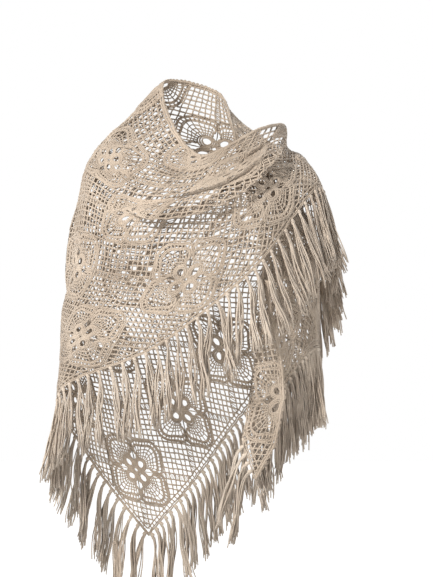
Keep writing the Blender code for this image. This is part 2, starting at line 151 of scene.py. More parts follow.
# Net and ladders, in millimetres of flat cloth
LADDER = 12.0  # width of the dense ladders along the lattice lines
NET_CELLS = 12  # net cells between two ladders
ROW_RADIUS = 1.6
POST_RADIUS = 1.75
NET_HEIGHT = 0.1  # above the drape
STITCH = 4.95  # between two points of a yarn: about half a net cell
SCAN = 1.0  # between the places where a line is tested against the pattern
NET_OVERLAP = 0.6  # how far net yarns run into the motifs
LADDER_YARN = 1.15
LADDER_STITCH = 9.8
LADDER_RISE = 0.3
LADDER_CLEAR = 1.0  # from the motifs and from the ladder's rails

# Where the drape gathers the cloth below these shares of its flat spacing, only every second or fourth
# net line is kept, tested on a grid
GRID = 10.0
HALF_ROOM = 0.60
QUARTER_ROOM = 0.30

# Rosettes where ladders cross
STAR_SPOKES = 12
STAR_REACHES = (1.5, 6.0, 11.0)
STAR_YARN = 1.3
STAR_HEIGHT = 0.6

# Motifs: a petal fills a rounded square quadrant round its teardrop hole
PETAL_SIDE = 63.0
PETAL_CORNER = 22.0
PETAL_NOTCH = 12.0
PETAL_HEART = 4.0  # corner radius at the motif's centre
PETAL_REACH = 13.5  # the hole's centre from the motif's centre, along both lattice directions
HOLE_LONG = 6.75
HOLE_WIDE = 5.5
HOLE_LOOPS = ((1.5, 1.2), (4.2, 1.0), (6.9, 0.7))  # offset from the hole and height
HOLE_YARN = 1.8
HOLE_STITCH = 3.6
FAN_START = 7.4  # the fan's first row from the hole
FAN_ROWS = (0.33, 0.67, 1.0)  # shares of the fan's depth
FAN_ROOM = 3.0  # a fan needs this much between its start and the band
FAN_DEPTH = 2.0  # least depth of the fan's rows
FAN_YARN = 1.5
FAN_HEIGHT = 0.5
RING_STITCH = 4.4
SLOT = 8.5  # open gaps between the fan and the band
SPOKE_TURN = math.radians(11.7)
SPOKES = range(-9, 19)  # numbered round the hole
SPOKE_MIDDLE = 4.5  # the number that would lie on the diagonal
SPOKE_YARN = 1.4
SPOKE_STITCH = 6.5
SPOKE_HEIGHT = 0.3
BAND = 13.0  # width of the petal's border
BAND_ROWS = ((BAND - 0.6, 0.5), (BAND - 3.0, 0.8), (3.4, 1.0), (0.9, 0.8))  # inside the edge by, height
BAND_YARN = 1.6
BAND_MIDDLE = 6.7
BAND_POST = 3.6  # half the length of the short posts across the band's middle
BAND_POST_YARN = 1.7
BAND_PITCH = 6.6
BAND_POST_HEIGHT = 0.6
BAND_REACH = 30.0  # the band is made where the petal's edge is at least this far from the hole
BAND_CLEAR = 20.0  # least distance of a band row from the hole
QUADRANT_EDGE = 0.4  # petal lines stop this far inside their quadrant
AXIS_YARN = 1.3
AXIS_HEIGHT = 0.5
AXIS_STITCH = 5.0
AXIS_ENDS = (9.0, PETAL_SIDE - 5)
HEART_RINGS = (4.3, 7.2)
HEART_YARN = 1.4
HEART_HEIGHT = 0.8

# Borders
BORDER = 11.0  # width of the border rows along the fringed edges
BORDER_HEIGHT = 0.2
EDGE_ROWS = ((1.4, 1.7), (4.4, 1.5))  # gap from the edge and radius
EDGE_HEIGHT = 0.3
EDGE_POST_START = 4.4
EDGE_POST_PITCH = 6.95
HEM_ROWS = ((1.0, 2.6), (5.0, 1.6))  # gap from the long edge and radius
HEM_HEIGHT = 0.4
HEM_STITCH = 4.4
HEM_END = 4.0  # distance from the triangle's tips
SCALLOP = 9.0
SCALLOP_END = 8.0  # least distance of a scallop's start from the sheet's end
SCALLOP_WIDE = 3.4
SCALLOP_DEEP = 2.6
SCALLOP_YARN = 1.1

# Unevenness of the crochet, and the height of a yarn's section as a share of its width
WANDER = 0.48
KNOBS = 0.16  # share by which a yarn's radius swells and thins
RIPPLE = 0.35
FLATNESS = 0.82

# Fringe bundles, in millimetres, with slants as shares of the length
LOCK_PITCH = 18.6
LOCK_LONG = 152.0
LOCK_LENGTHS = (0.88, 1.03)
LOCK_ROOT = -2.0  # out from the cloth's edge, so the root lies inside it
LOCK_TURN = 16.0  # length over which a bundle turns from the edge's direction to hanging
LOCK_PIECES = 10
STRANDS = 14
STRAND_RADIUS = 1.3
STRAND_JITTER = 0.3
CLUMPS = 4
SWAY = 0.05
SWAY_ALONG = 0.17
SWAY_ACROSS = 0.06
CLUMP_DRIFT = 0.07
STRAY_ALONG = 0.025
STRAY_ACROSS = 0.02
STRAY_SHARE = 0.08  # share of the strands that stray most
STRAY_TIMES = 2.5
PHASE_JITTER = 0.5
WAVE_ALONG, TURNS_ALONG = 0.20, 7.5
WAVE_ACROSS, TURNS_ACROSS = 0.10, 6.0
ROOT_SPREAD = 1.6
LOCK_SPREAD, LOCK_OPENS = 2.0, 1.8  # a bundle's radius below the knot and how much it grows
LOCK_OPENING_RATE = 1.6  # it is fully open at 1 / 1.6 of its length
KNOT = ((0.0, 2.4), (3.0, 4.0), (6.0, 4.2), (9.0, 2.8))  # place along the bundle and radius
KNOT_SIDES = 6
KNOT_FLATNESS = 0.8
KNOT_FORWARD = 0.3
STRAND_SIDES = 3

# Fringe pieces: name, CAD node, side, from and to in lattice steps, and the lean in x and y along it
FRINGES = (
    ("tassels_back_right", "fringe_back_right", 1, 0.0, 23 / 12, ((0.00, 0.05), (-0.16, 0.00))),
    (
        "tassels_front", "fringe_front", 1, 23 / 12, 17 / 4,
        ((-0.20, -0.05), (-0.10, -0.06), (-0.02, -0.07), (0.02, -0.08), (0.22, -0.05)),
    ),
    ("tassels_left_throw", "fringe_left_throw", 1, 17 / 4, 41 / 6, ((0.26, -0.05), (0.12, 0.05))),
    ("tassels_back_left", "fringe_back_left", -1, 0.0, 47 / 12, ((0.00, 0.05), (0.02, 0.05))),
    ("tassels_left_side", "fringe_left_side", -1, 47 / 12, 77 / 12, ((0.05, 0.02), (-0.02, 0.03))),
    ("tassels_left_end", "fringe_left_end", -1, 77 / 12, 83 / 12, ((-0.28, 0.05), (-0.10, -0.02))),
)

# Yarn colours: light and dark
LACE_COLOURS = ((0.53, 0.445, 0.36), (0.37, 0.30, 0.235))
FRINGE_COLOURS = ((0.64, 0.555, 0.465), (0.48, 0.40, 0.325))
LACE_ROUGHNESS = 0.85
FRINGE_ROUGHNESS = 0.75
PLY_SCALE = 0.35  # of the plies' pattern along the yarn, whose length is in millimetres
PLY_GROOVE_SHADE = 0.5  # share of painted shade that darkens the groove between two plies

# Studio: brightness of the surroundings by height, from straight down to straight up, and a floor in metres
STUDIO = (
    (0.37, (0.12, 0.12, 0.13)),
    (0.41, (1.0, 1.0, 1.0)),
    (0.555, (1.0, 1.0, 1.0)),
    (0.59, (0.14, 0.14, 0.14)),
    (1.0, (0.12, 0.12, 0.12)),
)
FLOOR_Z = -1.40
FLOOR_REACH = 14.0
FLOOR_CORNERS = 64
FLOOR_GLOW_FROM = (1.5, 5.5)  # distances from the middle between which the floor's painted glow rises
FLOOR_GLOW_TO = (0.20, 1.0)

# Lights: name, place, target, size, power in watts and colour
LIGHTS = (
    ("key", (-1.9, -2.6, 2.2), (0, 0, -0.2), 0.5, 215, (1.0, 0.98, 0.95)),
    ("back", (1.2, 2.8, 1.8), (0, 0, -0.2), 1.6, 55, (1.0, 1.0, 1.0)),
    ("side", (3.0, -0.9, -0.2), (0, 0, -0.4), 1.2, 16, (1.0, 0.99, 0.97)),
)

# Camera: it sees the photo's height in pixels, each of them this many millimetres
PHOTO_PIXELS = 577
PIXEL = 1.9
SENSOR = 36.0
CAMERA_AWAY = 6.0
CAMERA_X = 0.035
CAMERA_Z = -0.301


def lattice_points():
    """The ribs as an array over i and k, continued past the triangle's edges."""
    reach = STEPS + MARGIN
    points = np.full((2 * reach + 1, reach + 2, 3), np.nan)

    def at(i, k):
        return points[i + reach, k + 1]

    for i, rib in RIBS.items():
        for k, place in enumerate(rib):
            points[i + reach, k + 1] = place
    for ring in range(STEPS + 1, reach + 1):
        for k in range(ring, -1, -1):
            for side in (1, -1):
                i = side * (ring - k)
                if i == 0:
                    new = 2 * at(0, k - 1) - at(0, k - 2)
                elif k == 0:
                    new = 2 * at(i - side, 0) - at(i - 2 * side, 0)
                else:
                    new = at(i - side, k) + at(i, k - 1) - at(i - side, k - 1)
                points[i + reach, k + 1] = new
    points[:, 0] = 2 * points[:, 1] - points[:, 2]
    return points


LATTICE = lattice_points()


def cubic_weights(f):
    """Weights of four points in a row for a smooth curve from the second to the third."""
    return (
        0.5 * (-f + 2 * f**2 - f**3),
        0.5 * (2 - 5 * f**2 + 3 * f**3),
        0.5 * (f + 4 * f**2 - 3 * f**3),
        0.5 * (f**3 - f**2),
    )


def main_sheet(i, k):
    """The smooth sheet through the ribs, without folds."""
    reach = STEPS + MARGIN
    column = np.clip(np.floor(i).astype(int), -STEPS - 1, STEPS)
    row = np.clip(np.floor(k).astype(int), 0, STEPS)
    across = cubic_weights(i - column)
    down = cubic_weights(k - row)
    total = np.zeros(i.shape + (3,))
    for a in range(4):
        for b in range(4):
            point = LATTICE[np.clip(column + a - 1 + reach, 0, 2 * reach), np.clip(row + b, 0, reach + 1)]
            total += (across[a] * down[b])[..., None] * point
    return total


def unit(vectors):
    return vectors / np.maximum(np.linalg.norm(vectors, axis=-1, keepdims=True), 1e-9)


def smooth(f):
    f = np.clip(f, 0, 1)
    return f * f * (3 - 2 * f)


def fold_distance(i, k, start, middle, end):
    """Signed distance below the fold's line, the way down from it, and how far in from its ends."""
    f = np.linspace(0, 1, 15)[:, None]
    bend = 2 * np.array(middle) - 0.5 * (np.array(start) + np.array(end))
    line = (1 - f) ** 2 * np.array(start) + 2 * f * (1 - f) * bend + f**2 * np.array(end)
    best = np.full(i.shape, 1e9)
    signed = np.zeros(i.shape)
    down = np.zeros(i.shape + (2,))
    along = np.zeros(i.shape)
    for n in range(len(line) - 1):
        run = line[n + 1] - line[n]
        length = np.hypot(*run)
        offset = np.stack([i - line[n, 0], k - line[n, 1]], axis=-1)
        f = np.clip((offset @ run) / length**2, 0, 1)
        near = offset - f[..., None] * run
        distance = np.hypot(near[..., 0], near[..., 1])
        below = np.array([-run[1], run[0]]) / length
        closer = distance < best
        best = np.where(closer, distance, best)
        signed = np.where(closer, np.where(offset @ below >= 0, distance, -distance), signed)
        down[closer] = below
        along = np.where(closer, (n + f) / (len(line) - 1), along)
    return signed, down, along


def folded_sheet(i, k):
    """The main sheet with its fullness, folds and creases."""
    tiny = 0.02
    place = main_sheet(i, k)
    across = (main_sheet(i + tiny, k) - main_sheet(i - tiny, k)) / (2 * tiny)
    down = (main_sheet(i, k + tiny) - main_sheet(i, k - tiny)) / (2 * tiny)
    outward = unit(np.cross(down, across))
    shift = np.zeros(place.shape)
    for i_middle, k_middle, radius, height in FULLNESS:
        near = np.exp(-((i - i_middle) ** 2 + (k - k_middle) ** 2) / radius**2)
        shift += (height * near)[..., None] * outward
    for start, middle, end, width, ridge, roll, lap in FOLDS + CREASES:
        below, way, along = fold_distance(i, k, start, middle, end)
        fade = smooth(along / FOLD_FADES[0]) * smooth((1 - along) / FOLD_FADES[1])
        height = ridge * np.exp(-((below / width) ** 2))
        rolled = 0.5 - 0.5 * np.tanh(ROLL_EDGE * below / width)
        height = height + roll * rolled * smooth(1 + below / ROLL_WIDE)
        shift += (fade * height)[..., None] * outward
        if lap:
            slope = unit(across * way[..., :1] + down * way[..., 1:])
            slip = -lap * math.sqrt(2 * math.e) * (below / width) * np.exp(-((below / width) ** 2))
            shift += (fade * slip)[..., None] * slope
    return place + shift


def turnback_at(i):
    """Width turned back in lattice steps, the fold's x, and the turned hem's position."""
    table = np.array(TURNBACK, float)[::-1]
    values = [np.interp(i, table[:, 0], table[:, n]) for n in range(1, 6)]
    return values[0] / STEP, values[1], np.stack(values[2:], axis=-1)


def left_end(i, k):
    """The end that is folded over its own front, as one sheet that turns at the fold."""
    turned, fold_x, hem = turnback_at(i)
    full = np.maximum(STEPS + i, 0.03)
    all_turned = full <= turned
    width = np.where(all_turned, full, turned)
    behind = np.clip((k - width) / np.maximum(full - width, 0.02), 0, 1.2)
    fold = folded_sheet(i, np.zeros(k.shape))
    back = folded_sheet(i, np.where(all_turned, 0.0, behind * full))
    narrowing = np.clip((full - turned) / NARROWS_OVER, 0, 1)
    back = fold + narrowing[..., None] * (back - fold)
    move = fold_x - fold[..., 0]
    fold[..., 0] += move
    back[..., 0] += move * (1 - narrowing * behind)
    over = 1 - k / width
    turn = np.clip(over / TURN_ROUND, 0, 1)
    front = fold + over[..., None] * (hem - fold)
    rounded = over + narrowing * (np.sqrt(1 - (1 - turn) ** 2) - over)
    front[..., 1] = fold[..., 1] + (hem - fold)[..., 1] * rounded
    return np.where((all_turned | (over >= 0))[..., None], front, back)


def surface(s, t, on_left_end):
    """Position in millimetres and outward normal of flat places."""
    sheet = left_end if on_left_end else folded_sheet
    i, k, tiny = s / STEP, t / STEP, 0.012
    place = sheet(i, k)
    across = sheet(i + tiny, k) - sheet(i - tiny, k)
    down = sheet(i, k + tiny) - sheet(i, k - tiny)
    return place, unit(np.cross(down, across))


# Lace in the flat


def edge_gap(s, t):
    """Distance from the nearer fringed edge."""
    return (STEPS * STEP - np.abs(s) - t) / math.sqrt(2)


def petal_clearance(u, v):
    """Distance outside one petal, in the motif's quadrant with u and v from its centre."""
    half = 0.5 * PETAL_SIDE
    p, q = u - half, v - half
    one_way = np.where((p > 0) | (q > 0), PETAL_NOTCH, PETAL_HEART)
    radius = np.where((p > 0) & (q > 0), PETAL_CORNER, one_way)
    a, b = np.abs(p) - half + radius, np.abs(q) - half + radius
    return np.minimum(np.maximum(a, b), 0) + np.hypot(np.maximum(a, 0), np.maximum(b, 0)) - radius


def motif_clearance(s, t):
    """Distance outside the nearest motif's petals."""
    best = np.full(s.shape, 1e9)
    column, row = np.floor(s / STEP), np.floor(t / STEP)
    for a in (0, 1):
        for b in (0, 1):
            i, k = column + a, row + b
            real = ((i + k) % 2 == 0) & (np.abs(i) + k < STEPS) & (k >= 0)
            gap = petal_clearance(np.abs(s - i * STEP), np.abs(t - k * STEP))
            best = np.where(real, np.minimum(best, gap), best)
    return best


def runs_where(mask):
    """First and last index of every run of True values."""
    padded = np.concatenate([[False], mask, [False]])
    changes = np.flatnonzero(padded[1:] != padded[:-1])
    return [(a, b - 1) for a, b in zip(changes[::2], changes[1::2]) if b - a > 2]


def spaced(points, spacing):
    """The line with points at an even spacing."""
    length = np.concatenate([[0], np.cumsum(np.hypot(*np.diff(points, axis=0).T))])
    count = max(2, math.ceil(length[-1] / spacing) + 1)
    marks = np.linspace(0, length[-1], count)
    return np.stack([np.interp(marks, length, points[:, n]) for n in (0, 1)], axis=1)


def zigzag(points, half_width, period, first):
    """A line that swings to both sides of the given line."""
    length = np.concatenate([[0], np.cumsum(np.hypot(*np.diff(points, axis=0).T))])
    count = max(2, round(2 * length[-1] / period))
    marks = np.linspace(0, length[-1], count + 1)
    middle = np.stack([np.interp(marks, length, points[:, n]) for n in (0, 1)], axis=1)
    run = points[-1] - points[0]
    side = np.array([-run[1], run[0]]) / max(np.hypot(*run), 1e-6)
    swing = first * half_width * np.where(np.arange(count + 1) % 2, 1, -1)
    return middle + swing[:, None] * side


class Yarns:
    """Lines of yarn in the flat cloth: points, radius, height above the cloth and sides of the tube."""

    def __init__(self):
        self.lines = []

    def add(self, points, radius, height=0.0, sides=5):
        if len(points) > 1:
            self.lines.append((np.asarray(points, float), radius, height, sides))


def net_marks():
    """Places of the net's lines in one lattice step; the first and last are rails of ladders."""
    cell = (STEP - LADDER) / NET_CELLS
    return [0.5 * LADDER + n * cell for n in range(NET_CELLS + 1)]


def clipped(points, low, high, margin=-NET_OVERLAP):
    """The stretches of a finely pointed line that lie in a sheet's net."""
    s, t = points.T
    mask = (s >= low) & (s <= high) & (motif_clearance(s, t) > margin)
    mask = mask & (edge_gap(s, t) > BORDER - 0.5)
    return [points[a : b + 1] for a, b in runs_where(mask)]


def room_left(low, high, on_left_end):
    """The share of their flat spacing that rows and posts keep in the drape, on a grid."""
    s = np.arange(low, high + GRID, GRID)
    t = np.arange(0.0, STEPS * STEP + GRID, GRID)
    i, k = np.meshgrid(s / STEP, t / STEP, indexing="ij")
    sheet = left_end if on_left_end else folded_sheet
    tiny = 0.03
    across = (sheet(i + tiny, k) - sheet(i - tiny, k)) / (2 * tiny * STEP)
    down = (sheet(i, k + tiny) - sheet(i, k - tiny)) / (2 * tiny * STEP)
    area = np.linalg.norm(np.cross(across, down), axis=-1)
    rows = area / np.linalg.norm(across, axis=-1)
    posts = area / np.linalg.norm(down, axis=-1)
    return np.nan_to_num(rows, nan=1.0), np.nan_to_num(posts, nan=1.0)


def thinned(run, number, low, room):
    """The stretches of a net line that are kept where the cloth is gathered."""
    s, t = run.T
    column = np.clip(np.rint((s - low) / GRID).astype(int), 0, room.shape[0] - 1)
    line = np.clip(np.rint(t / GRID).astype(int), 0, room.shape[1] - 1)
    here = room[column, line]
    kept = ((number % 2 == 0) | (here > HALF_ROOM)) & ((number % 4 == 0) | (here > QUARTER_ROOM))
    return [run[a : b + 1] for a, b in runs_where(kept)]


def add_net(yarns, low, high, room):
    """Rows and posts of the net, which are the ladders' rails too."""
    width = STEPS * STEP
    row_room, post_room = room
    for k in range(STEPS):
        for number, mark in enumerate(net_marks()):
            t = k * STEP + mark
            s = np.arange(max(low, t - width), min(high, width - t) + 0.5 * SCAN, SCAN)
            for run in clipped(np.stack([s, np.full(s.shape, t)], axis=1), low, high):
                for part in thinned(run, number, low, row_room):
                    yarns.add(spaced(part, STITCH), ROW_RADIUS, NET_HEIGHT)
    for i in range(-STEPS, STEPS):
        for number, mark in enumerate(net_marks()):
            s = i * STEP + mark
            if not low <= s <= high:
                continue
            t = np.arange(2 * SCAN, width - abs(s), SCAN)
            for run in clipped(np.stack([np.full(t.shape, s), t], axis=1), low, high):
                for part in thinned(run, number, low, post_room):
                    yarns.add(spaced(part, STITCH), POST_RADIUS, NET_HEIGHT, 4)


def add_ladders(yarns, low, high):
    """Crossed stitches between the rails, along every lattice line."""
    width = STEPS * STEP
    lines = []
    for k in range(1, STEPS):
        s = np.arange(low, high, SCAN)
        lines.append(np.stack([s, np.full(s.shape, k * STEP)], axis=1))
    for i in range(-STEPS + 1, STEPS):
        if low <= i * STEP < high:
            t = np.arange(2 * SCAN, width - abs(i * STEP), SCAN)
            lines.append(np.stack([np.full(t.shape, i * STEP), t], axis=1))
    for line in lines:
        for run in clipped(line, low, high, LADDER_CLEAR):
            for first in (1, -1):
                stitches = zigzag(run, 0.5 * LADDER - LADDER_CLEAR, LADDER_STITCH, first)
                yarns.add(stitches, LADDER_YARN, LADDER_RISE * first, 4)


def add_stars(yarns, low, high):
    """A small rosette where ladders cross between the motifs."""
    for i in range(1 - STEPS, STEPS):
        for k in range(1, STEPS):
            if (i + k) % 2 and low <= i * STEP < high and abs(i) + k < STEPS:
                centre = np.array([i * STEP, k * STEP])
                for spoke in range(STAR_SPOKES):
                    angle = spoke * 2 * math.pi / STAR_SPOKES
                    way = np.array([math.cos(angle), math.sin(angle)])
                    points = [centre + reach * way for reach in STAR_REACHES]
                    yarns.add(points, STAR_YARN, STAR_HEIGHT, 4)


def petal_reach(hole, way):
    """How far the petal's edge lies from its hole in every direction."""
    low, high = np.zeros(len(way)), np.full(len(way), 1.5 * PETAL_SIDE)
    for _ in range(30):
        middle = 0.5 * (low + high)
        outside = petal_clearance(*(hole + middle[:, None] * way).T) > 0
        high = np.where(outside, middle, high)
        low = np.where(outside, low, middle)
    return high


def petal_lines():
    """Lines of one petal in its quadrant: points, radius, height, sides."""
    hole = np.array([PETAL_REACH, PETAL_REACH])
    turn = np.radians(np.arange(-135.0, 226.0, 3.0))
    way = np.stack([np.cos(turn), np.sin(turn)], axis=1)
    reach = petal_reach(hole, way)
    diagonal = np.cos(turn - math.pi / 4)
    aside = np.sqrt(1 - diagonal**2)
    opening = HOLE_LONG * HOLE_WIDE / np.hypot(HOLE_WIDE * diagonal, HOLE_LONG * aside)
    lines = []

    def ring(radius, mask, thick, height, spacing=RING_STITCH, sides=5):
        points = hole + radius[:, None] * way
        mask = mask & (points > QUADRANT_EDGE).all(axis=1)
        for a, b in runs_where(mask):
            lines.append((spaced(points[a : b + 1], spacing), thick, height, sides))

    everywhere = np.ones(turn.shape, bool)
    for offset, height in HOLE_LOOPS:
        ring(opening + offset, everywhere, HOLE_YARN, height, HOLE_STITCH)
    fan = opening + FAN_START
    inner = reach - BAND
    roomy = inner > fan + FAN_ROOM
    rows = np.maximum(inner - SLOT - fan, FAN_DEPTH)
    for share in FAN_ROWS:
        ring(fan + share * rows, roomy, FAN_YARN, FAN_HEIGHT, RING_STITCH, 4)
    banded = reach > BAND_REACH
    for offset, height in BAND_ROWS:
        ring(reach - offset, banded & (reach - offset > BAND_CLEAR), BAND_YARN, height)
    middle = hole + (reach - BAND_MIDDLE)[:, None] * way
    across = np.array([[-BAND_POST], [0.0], [BAND_POST]])
    for a, b in runs_where(banded & (middle > 1.0).all(axis=1)):
        path = spaced(middle[a : b + 1], BAND_PITCH)
        for point, outward in zip(path, unit(path - hole)):
            lines.append((point + across * outward, BAND_POST_YARN, BAND_POST_HEIGHT, 4))
    for number in SPOKES:
        angle = math.pi / 4 + (number - SPOKE_MIDDLE) * SPOKE_TURN
        nearest = np.argmin(np.abs(turn - angle))
        if not roomy[nearest]:
            continue
        direction = np.array([math.cos(angle), math.sin(angle)])
        start = hole + (fan[nearest] - 1.0) * direction
        end = hole + (inner[nearest] + 1.0) * direction
        points = spaced(np.stack([start, end]), SPOKE_STITCH)
        points = points[(points > QUADRANT_EDGE).all(axis=1)]
        lines.append((points, SPOKE_YARN, SPOKE_HEIGHT, 4))
    axis = np.stack([np.full(20, 0.0), np.linspace(*AXIS_ENDS, 20)], axis=1)
    lines.append((spaced(axis, AXIS_STITCH), AXIS_YARN, AXIS_HEIGHT, 4))
    return lines


def add_motifs(yarns, low, high):
    """Four petals round a small ringed heart, and two petals where the long edge halves the motif."""
    petal = petal_lines()
    ring = np.radians(np.linspace(0, 360, 13))
    for i in range(1 - STEPS, STEPS):
        for k in range(STEPS):
            if (i + k) % 2 or abs(i) + k >= STEPS:
                continue
            centre = np.array([i * STEP, k * STEP])
            falls = (1, -1) if k else (1,)
            for side in (1, -1):
                if not low <= i * STEP + 2 * side < high:
                    continue
                for fall in falls:
                    for points, radius, height, sides in petal:
                        yarns.add(centre + points * (side, fall), radius, height, sides)
                    mirrored = petal[-1][0][:, ::-1]
                    if fall == 1:
                        yarns.add(centre + mirrored * (side, fall), *petal[-1][1:])
            if low <= i * STEP < high:
                for radius in HEART_RINGS:
                    circle = radius * np.stack([np.cos(ring), np.sin(ring)], axis=1)
                    if k == 0:
                        circle = circle[circle[:, 1] >= -0.1]
                    yarns.add(centre + circle, HEART_YARN, HEART_HEIGHT)


def edge_row(side, start, end, gap):
    """A line along a fringed edge, a gap in from it."""
    width = STEPS * STEP
    along = np.arange(start, end, SCAN)
    along = along[along < width - 1.5 * gap]
    line = np.stack([side * along, width - along - gap * math.sqrt(2)], axis=1)
    return line[line[:, 1] > 0]


def add_borders(yarns, low, high):
    """Rows and short posts along the fringed edges."""
    width = STEPS * STEP
    gaps = np.array([EDGE_POST_START, BORDER]) * math.sqrt(2)
    for side in (1, -1):
        start, end = sorted((np.clip(side * low, 0, width), np.clip(side * high, 0, width)))
        if end - start < 1:
            continue
        for gap, radius in EDGE_ROWS:
            line = edge_row(side, start, end, gap)
            if len(line) > 1:
                yarns.add(spaced(line, STITCH), radius, EDGE_HEIGHT)
        line = edge_row(side, start, end, BORDER)
        if len(line):
            for a, b in runs_where(motif_clearance(*line.T) > -NET_OVERLAP):
                yarns.add(spaced(line[a : b + 1], STITCH), ROW_RADIUS, BORDER_HEIGHT)
        first_post = math.ceil(start / EDGE_POST_PITCH) * EDGE_POST_PITCH
        for along in np.arange(first_post, end, EDGE_POST_PITCH):
            line = np.stack([side * (along - 0.5 * gaps), width - along - 0.5 * gaps], axis=1)
            if line[1, 1] > 0 and side * line[1, 0] > 0:
                yarns.add(line, POST_RADIUS, 0.0, 4)


def add_hem(yarns, low, high):
    """The corded long edge with its small scallops."""
    width = STEPS * STEP
    s = np.arange(max(low, HEM_END - width), min(high, width - HEM_END), SCAN)
    for gap, radius in HEM_ROWS:
        line = np.stack([s, np.full(s.shape, gap)], axis=1)
        yarns.add(spaced(line[edge_gap(s, gap) > 1], HEM_STITCH), radius, HEM_HEIGHT)
    angle = np.linspace(0, math.pi, 5)
    for scallop in np.arange(math.ceil(s[0] / SCALLOP) * SCALLOP, s[-1] - SCALLOP_END, SCALLOP):
        across = scallop + 0.5 * SCALLOP - SCALLOP_WIDE * np.cos(angle)
        arch = np.stack([across, -SCALLOP_DEEP * np.sin(angle)], axis=1)
        yarns.add(arch, SCALLOP_YARN, HEM_HEIGHT, 4)


# Meshes from tubes


def wander(points, number):
    """Small uneven shifts, so that no two stitches are quite alike."""
    s, t = points.T
    a = np.sin(0.31 * s + 1.9 * np.sin(0.083 * t + number)) + np.sin(0.171 * t - 0.23 * s + 2.1)
    b = np.sin(0.27 * t + 1.7 * np.sin(0.071 * s - number)) + np.sin(0.157 * s + 0.19 * t + 0.6)
    return WANDER * np.stack([a, b], axis=1)


class Tubes:
    """Collects tubes and makes one mesh of them."""

    def __init__(self):
        self.points, self.loops, self.sizes, self.uvs = [], [], [], []
        self.count = 0

    def add(self, centres, normals, radii, sides, starts, flatness=FLATNESS):
        """Many tubes at once: starts gives the first point of each tube, and each has the same sides."""
        total = len(centres)
        starts = np.asarray(starts)
        first = np.zeros(total, bool)
        first[starts] = True
        last = np.roll(first, -1)
        index = np.arange(total)
        before = np.where(first, index, index - 1)
        after = np.where(last, index, (index + 1) % total)
        tangent = unit(centres[after] - centres[before])
        side = unit(np.cross(normals, tangent))
        up = np.cross(tangent, side)
        angle = 2 * math.pi * (np.arange(sides) + 0.5) / sides
        sideways = np.cos(angle)[None, :, None] * side[:, None]
        upward = flatness * np.sin(angle)[None, :, None] * up[:, None]
        ring = centres[:, None] + radii[:, None, None] * (sideways + upward)
        base = self.count + index[~last] * sides
        corner = np.arange(sides)
        following = (corner + 1) % sides
        quads = np.stack(
            [
                base[:, None] + corner,
                base[:, None] + following,
                base[:, None] + sides + following,
                base[:, None] + sides + corner,
            ],
            axis=2,
        ).reshape(-1, 4)
        step = np.linalg.norm(centres - centres[before], axis=1)
        run = np.cumsum(np.where(first, 0, step))
        near, far = run[~last], run[np.flatnonzero(~last) + 1]
        u = np.stack([near, near, far, far], axis=1)[:, None].repeat(sides, axis=1).reshape(-1)
        v = np.stack([corner, corner + 1, corner + 1, corner], axis=1) / sides
        v = np.tile(v.reshape(-1), len(near))
        heads = self.count + index[first][:, None] * sides + corner[::-1]
        tails = self.count + index[last][:, None] * sides + corner
        self.points.append(ring.reshape(-1, 3))
        self.loops += [quads.reshape(-1), heads.reshape(-1), tails.reshape(-1)]
        self.sizes += [np.full(len(quads), 4), np.full(len(heads) + len(tails), sides)]
        self.uvs += [np.stack([u, v], axis=1), np.zeros((heads.size + tails.size, 2))]
        self.count += total * sides

    def object(self, name, material):
        """The collected tubes as one object in metres."""
        points = np.concatenate(self.points) * MM
        loops = np.concatenate(self.loops).astype(np.int32)
        sizes = np.concatenate(self.sizes).astype(np.int32)
        mesh = bpy.data.meshes.new(name)
        mesh.vertices.add(len(points))
        mesh.vertices.foreach_set("co", points.astype(np.float32).ravel())
        mesh.loops.add(len(loops))
        mesh.loops.foreach_set("vertex_index", loops)
        mesh.polygons.add(len(sizes))
        firsts = np.concatenate([[0], np.cumsum(sizes)[:-1]]).astype(np.int32)
        mesh.polygons.foreach_set("loop_start", firsts)
        mesh.update(calc_edges=True)
        uv = mesh.uv_layers.new(name="yarn")
        uv.data.foreach_set("uv", np.concatenate(self.uvs).astype(np.float32).ravel())
        mesh.validate()
        mesh.shade_smooth()
        mesh.materials.append(material)
        made = bpy.data.objects.new(name, mesh)
        bpy.context.scene.collection.objects.link(made)
        return made


def weave(name, yarns, on_left_end, material):
    """Drapes the flat yarns and makes one object of them."""
    tubes = Tubes()
    for sides in (4, 5):
        lines = [line for line in yarns.lines if line[3] == sides]
        if not lines:
            continue
        flat = [points + wander(points, sides) for points, _, _, _ in lines]
        starts = np.concatenate([[0], np.cumsum([len(p) for p in flat])[:-1]])
        s, t = np.concatenate(flat).T
        place, normal = surface(s, t, on_left_end)
        height = np.concatenate([np.full(len(p), line[2]) for p, line in zip(flat, lines)])
        radius = np.concatenate([np.full(len(p), line[1]) for p, line in zip(flat, lines)])
        radius = radius * (1 + KNOBS * np.sin(1.7 * s + 0.9 * t))
        height = height + RIPPLE * np.sin(0.9 * s + 1.3 * t)
        tubes.add(place + height[:, None] * normal, normal, radius, sides, starts)
    return tubes.object(name, material)


# Fringe


def edge_point(side, along, out):
    """A point out from a short edge and square to it, with the ways out and along that edge."""
    tiny = 0.02
    i = side * np.array([along, along - tiny, along + tiny, along - tiny])
    k = STEPS - np.array([along, along - tiny, along + tiny, along + tiny])
    sheet = left_end if side * along < TURN_START else folded_sheet
    edge, before, after, inner = sheet(i, k)
    run = unit(after - before)
    away = edge - inner
    away = unit(away - (away @ run) * run)
    return edge + out * away, away, run


